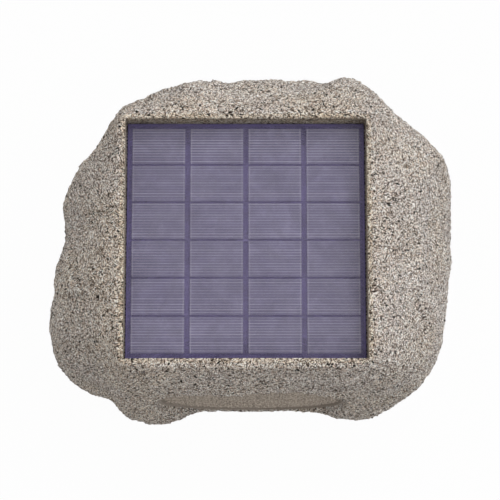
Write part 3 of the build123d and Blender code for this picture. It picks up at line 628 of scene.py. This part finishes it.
def laminate_material():
    """Dark indigo border, and a lighter violet ground under the cells that shows in the gaps."""
    material = grained("indigo_laminate", (99, 89, 141), (119, 107, 167), 0.5, depth=0.00003)
    tree, surface, place = regrained(material)
    border_tone = surface["Base Color"].links[0].from_socket
    under_cells = box_mask(tree, place, [
        ("X", cells_low[0], cells_high[0]),
        ("Y", cells_low[1], cells_high[1]),
    ])
    ground = mixed(tree, under_cells, border_tone, (1.11, 1.14, 0.95, 1), blend_type="MULTIPLY")
    feed(tree, surface["Base Color"], ground)
    return material


def cover_material():
    """Clear sheet: mostly see-through, with a faint haze of wiped dust and a soft gloss."""
    material = grained("clear_sheet", (120, 114, 136), (150, 146, 165), 0.22, depth=0.00002)
    tree, surface, place = regrained(material)
    smears = texture(tree, "Noise", place, scale=34.0, detail=6.0, roughness=0.7, distortion=1.2)
    feed(tree, surface["Alpha"], remap(tree, smears.outputs["Fac"], 0.38, 0.72, 0.08, 0.24))
    return material


black_foam = grained("black_foam", (24, 24, 24), (44, 44, 44), 0.95, grain=1500.0, depth=0.0003)
black_rubber = grained("black_rubber", (22, 22, 22), (40, 40, 41), 0.8, depth=0.00012)
dress(cell_material(), "solar_cells")
dress(laminate_material(), "solar_board")
dress(cover_material(), "solar_cover")
dress(black_foam, "panel_tape")
dress(black_rubber, "lead_grommet")


# Grille: a frame moulded in the stone's colour and pressed into the niche, and in its rebate a fine
# mesh woven from painted wire.
mesh_pitch = 0.0021
mesh_wire = 0.00038
mesh_corner = 0.0458
mesh_inset = 0.001
wire_sides = 6
wire_lift = 0.95


def woven_mesh():
    """Two sets of wires that pass over and under each other, cut to the rounded opening."""
    low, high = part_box("grille_mesh")
    half_x = (high[0] - low[0]) / 2
    half_y = (high[2] - low[2]) / 2 / cos(grille_lean) - mesh_inset
    middle = Vector([(a + b) / 2 for a, b in zip(low, high)])
    across = Vector((1, 0, 0))
    up = Vector((0, sin(grille_lean), cos(grille_lean)))

    def reach(offset, side, other):
        """How far a wire at this offset runs before it meets the rounded edge."""
        over = abs(offset) - (other - mesh_corner)
        if over <= 0:
            return side
        return side - mesh_corner + max(mesh_corner ** 2 - over ** 2, 0) ** 0.5

    sides = range(wire_sides)
    corners = [(cos(2 * pi / wire_sides * k), sin(2 * pi / wire_sides * k)) for k in sides]
    points = []
    faces = []
    directions = ((half_y, half_x, up, across), (half_x, half_y, across, up))
    for direction, (side, other, along, beside) in enumerate(directions):
        wires = int(other / mesh_pitch)
        for wire in range(-wires, wires + 1):
            offset = wire * mesh_pitch
            crossings = int(reach(offset, side, other) / mesh_pitch)
            if crossings < 2:
                continue
            for crossing in range(-crossings, crossings + 1):
                over = 1 if (wire + crossing + direction) % 2 == 0 else -1
                spot = middle + beside * offset + along * (crossing * mesh_pitch)
                spot += grille_out * (over * mesh_wire * wire_lift)
                start = len(points)
                points += [
                    spot + beside * (mesh_wire * c) + grille_out * (mesh_wire * s) for c, s in corners
                ]
                if crossing > -crossings:
                    for k in sides:
                        this, after = start + k, start + (k + 1) % wire_sides
                        faces.append((this, after, after - wire_sides, this - wire_sides))
                if abs(crossing) == crossings:
                    cap = [start + k for k in sides]
                    faces.append(tuple(cap if crossing > 0 else cap[::-1]))
    mesh = bpy.data.meshes.new("grille_weave")
    mesh.from_pydata(points, [], faces)
    smooth_shading(mesh)
    return mesh


def mesh_paint():
    """Paint in the stone's colour, that has gathered along the upright wires."""
    material = grained("stone_paint", (72, 64, 56), (216, 202, 187), 0.75, grain=1200.0, drift=1000.0)
    tree, _, place = regrained(material)
    effect = next(node for node in tree.nodes if node.type == "GROUP")
    along_wires = compute(tree, "MULTIPLY", place, (1, 1, 0.22), kind="VectorMath")
    feed(tree, effect.inputs["Vector"], along_wires)
    return material


stone_plastic = grained("stone_plastic", (134, 124, 114), (160, 150, 140), 0.8, grain=1100.0)
grille_weave = new_piece("grille_weave", woven_mesh(), "speaker")
grille_weave.data.materials.append(mesh_paint())
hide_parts("grille_mesh")
dress(stone_plastic, "grille_frame")


# Driver: a pressed steel basket with a ferrite magnet between plated steel plates, a black fibre cone
# on a copper coil, held by a rubber surround in front and a cloth spider behind. It is screwed to the
# baffle behind the grille, over a foam gasket.
flange_offset = 0.00075
plated_steel = grained(
    "plated_steel", (170, 171, 172), (205, 206, 208), 0.35, grain=1400.0, depth=0.00003, metallic=1.0
)
copper_wire = grained(
    "copper_wire", (150, 82, 48), (196, 118, 74), 0.35, grain=3000.0, depth=0.0001, metallic=1.0
)
black_steel = grained("black_steel", (20, 20, 21), (38, 38, 39), 0.45)
ferrite = grained("ferrite", (46, 46, 49), (70, 70, 73), 0.7, grain=1300.0, depth=0.0002)
cone_fibre = grained("cone_fibre", (26, 25, 24), (52, 50, 47), 0.9, grain=1100.0, depth=0.0002)
spider_cloth = grained("spider_cloth", (150, 122, 78), (186, 158, 110), 0.85, grain=1300.0, depth=0.0003)
dark_plastic = grained("dark_plastic", (38, 37, 36), (58, 56, 54), 0.6, grain=1600.0)
dress(black_foam, "driver_gasket")
dress(black_steel, "driver_basket")
dress(plated_steel, "driver_top_plate", "driver_yoke", "driver_screws")
dress(ferrite, "driver_magnet")
dress(copper_wire, "voice_coil")
dress(cone_fibre, "driver_cone", "dust_cap")
dress(dark_plastic, "driver_terminals")


def bending_copy(node, material):
    """A smooth-shaded copy of a CAD ring in a material of its own, shown in place of the CAD piece."""
    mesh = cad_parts[node].data.copy()
    mesh.materials.clear()
    mesh.materials.append(material)
    smooth_shading(mesh)
    ring = bpy.data.objects.new("soft_" + node, mesh)
    scene.collection.objects.link(ring)
    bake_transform(ring)
    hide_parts(node)


gasket_low, gasket_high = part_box("driver_gasket")
flange = Vector(((gasket_low[0] + gasket_high[0]) / 2, 0, (gasket_low[2] + gasket_high[2]) / 2))
flange.y = (gasket_low[1] + gasket_high[1]) / 2 + flange_offset
bending_copy(
    "driver_surround", black_rubber,
)
bending_copy(
    "driver_spider", spider_cloth,
)


# Base: a flat moulded plate on a foam seal, which closes the hollow rock from below. Plated screws
# hold it, and four black rubber feet are stuck under it.
dress(grained("base_plastic", (34, 33, 32), (50, 48, 46), 0.7, grain=1200.0), "base_plate")
dress(black_foam, "base_seal")
dress(plated_steel, "base_screws")
dress(black_rubber, "foot_back_right", "foot_back_left", "foot_front_left", "foot_front_right")


# Battery and main board: two sleeved cells in a moulded tray, and a green circuit board with its
# largest parts. Both are screwed to the base.
board_green = grained("board_green", (18, 84, 46), (30, 112, 62), 0.4, grain=700.0, depth=0.00005)
white_plastic = grained("white_plastic", (214, 212, 204), (232, 230, 224), 0.45)
aluminium = grained(
    "aluminium", (176, 178, 182), (208, 210, 213), 0.38, grain=1500.0, depth=0.00004, metallic=1.0
)
dress(dark_plastic, "battery_holder")
dress(grained("cell_sleeve", (38, 84, 150), (52, 104, 172), 0.3), "battery_cells")
dress(plated_steel, "battery_screws", "board_screws")
dress(board_green, "main_board")
dress(white_plastic, "board_connectors")
dress(aluminium, "board_capacitors", "wireless_module", "heat_sink")


# Control panel: a dark plate over a foam seal in the rear niche, four soft keys on the switches of a
# small board, a status lens, and a charging socket behind a hinged cover.
keys = ("power", "pairing", "volume_down", "volume_up")
dress(grained("plate_plastic", (44, 42, 40), (64, 61, 58), 0.62, grain=1300.0), "control_plate")
dress(black_foam, "control_seal")
dress(plated_steel, "control_screws", "switch_board_screws", "charge_socket")
dress(board_green, "switch_board")
dress(dark_plastic, "switch_bodies", *[key + "_plunger" for key in keys])
dress(black_rubber, "port_cover", *[key + "_button" for key in keys])
dress(white_plastic, "switch_connector", "status_light")
dress(grained("clear_lens", (190, 205, 215), (225, 234, 240), 0.2), "status_lens")


# Signs on the keys: raised strokes on the rubber, printed white, so that they are seen and felt. They
# are the usual ones for power, radio, minus and plus.
sign_stroke = 0.00026
sign_voxel = 0.00007
sign_reach = 0.0016
arc_steps = 24
waves_low = -0.0013


def arc_stroke(radius, start, end, up=0.0):
    """Points along an arc, from one angle to another in degrees off the upright."""
    angles = [radians(start + (end - start) * step / arc_steps) for step in range(arc_steps + 1)]
    return [(radius * sin(angle), up + radius * cos(angle)) for angle in angles]


def key_sign(key, strokes):
    """Strokes through (across, up) points on a key's face, joined into one raised sign."""
    low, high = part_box(key + "_button")
    middle = Vector(((low[0] + high[0]) / 2, high[1], (low[2] + high[2]) / 2))
    lines = bpy.data.curves.new(key + "_sign", "CURVE")
    lines.dimensions = "3D"
    lines.bevel_depth = sign_stroke
    lines.use_fill_caps = True
    for stroke in strokes:
        line = lines.splines.new("POLY")
        line.points.add(len(stroke) - 1)
        for point, (across, up) in zip(line.points, stroke):
            point.co = (*(middle + Vector((-across, 0, up))), 1)
    drawn = bpy.data.objects.new(key + "_sign", lines)
    scene.collection.objects.link(drawn)
    joined = drawn.modifiers.new("joined", "REMESH")
    joined.mode = "VOXEL"
    joined.voxel_size = sign_voxel
    mesh = worked_mesh(drawn)
    bpy.data.objects.remove(drawn)
    smooth_shading(mesh)
    sign = new_piece(key + "_sign", mesh, key + "_key")
    sign.data.materials.append(white_plastic)


bar = [(-sign_reach, 0), (sign_reach, 0)]
post = [(0, -sign_reach), (0, sign_reach)]
waves = [arc_stroke(radius, -45, 45, waves_low) for radius in (0.0009, 0.0019, 0.0029)]
key_sign("power", [arc_stroke(sign_reach, 35, 325), [(0, 0.0005), (0, 0.0021)]])
key_sign("pairing", waves + [[(-0.0001, waves_low), (0.0001, waves_low)]])
key_sign("volume_down", [bar])
key_sign("volume_up", [bar, post])


# Leads: round wires in a black sheath, from the panel, the driver, the battery and the control panel
# to the main board.
lead_sheath = grained("lead_sheath", (18, 18, 18), (34, 34, 34), 0.55)
dress(lead_sheath, "solar_lead", "speaker_lead", "battery_lead", "control_lead")


# Floor, light and camera: a plain white floor, a white sky a little brighter at the back, a broad lamp
# from the right, and a camera almost straight above, as in the photograph.
floor_size = 6.0
floor_white = 0.97
lamp_shines = Vector((-0.70, -0.38, -0.60))
camera_height = radians(81)
camera_distance = 0.9
picture_half = 250
focal_pixels = 1613
aim_right = 0.00235
aim_down = 0.0058

corner_signs = ((-1, -1), (1, -1), (1, 1), (-1, 1))
floor_corners = [(x * floor_size, y * floor_size, 0) for x, y in corner_signs]
floor_mesh = bpy.data.meshes.new("floor")
floor_mesh.from_pydata(floor_corners, [], [(0, 1, 2, 3)])
floor = bpy.data.objects.new("floor", floor_mesh)
scene.collection.objects.link(floor)
floor_material, floor_tree, floor_surface, _ = blank_material("white_floor")
feed(floor_tree, floor_surface["Base Color"], (0.62, 0.62, 0.62, 1))
feed(floor_tree, floor_surface["Roughness"], 0.9)
floor_path = floor_tree.nodes.new("ShaderNodeLightPath").outputs
seen = compute(floor_tree, "MAXIMUM", floor_path["Is Camera Ray"], floor_path["Is Glossy Ray"])
seen = compute(floor_tree, "MAXIMUM", seen, floor_path["Is Transmission Ray"])
floor_glow = floor_tree.nodes.new("ShaderNodeEmission")
floor_mix = floor_tree.nodes.new("ShaderNodeMixShader")
feed(floor_tree, floor_mix.inputs["Fac"], compute(floor_tree, "MULTIPLY", seen, floor_white))
feed(floor_tree, floor_mix.inputs[1], floor_tree.nodes["Principled BSDF"].outputs["BSDF"])
feed(floor_tree, floor_mix.inputs[2], floor_glow.outputs["Emission"])
feed(floor_tree, floor_tree.nodes["Material Output"].inputs["Surface"], floor_mix.outputs["Shader"])
floor.data.materials.append(floor_material)

world = bpy.data.worlds.new("sky")
world.use_nodes = True
sky_tree = world.node_tree
sky = sky_tree.nodes["Background"].inputs
sky_place = sky_tree.nodes.new("ShaderNodeTexCoord").outputs["Generated"]
sky_back = parts_of(sky_tree, "XYZ", sky_place)["Y"]
feed(sky_tree, sky["Color"], (1, 0.985, 0.96, 1))
feed(sky_tree, sky["Strength"], remap(sky_tree, sky_back, -1, 1, 0.57, 0.92))
scene.world = world
lamp_data = bpy.data.lights.new("key", "SUN")
lamp_data.energy = 1.74
lamp_data.color = (0.97, 1, 1.04)
lamp_data.angle = radians(90)
lamp = bpy.data.objects.new("key", lamp_data)
lamp.rotation_euler = lamp_shines.to_track_quat("-Z", "Y").to_euler()
scene.collection.objects.link(lamp)

panel_low, panel_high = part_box("solar_cover")
sight = Vector((0, cos(camera_height), -sin(camera_height)))
picture_up = Vector((0, sin(camera_height), cos(camera_height)))
aim = Vector(((panel_low[0] + panel_high[0]) / 2, (panel_low[1] + panel_high[1]) / 2, panel_high[2]))
aim += Vector((aim_right, 0, 0)) - picture_up * aim_down
camera_data = bpy.data.cameras.new("camera")
camera_data.angle = 2 * atan(picture_half / focal_pixels)
camera_data.clip_start = 0.01
camera = bpy.data.objects.new("camera", camera_data)
camera.location = aim - sight * camera_distance
camera.rotation_euler = sight.to_track_quat("-Z", "Y").to_euler()
scene.collection.objects.link(camera)
scene.camera = camera
scene.view_settings.view_transform = "Standard"
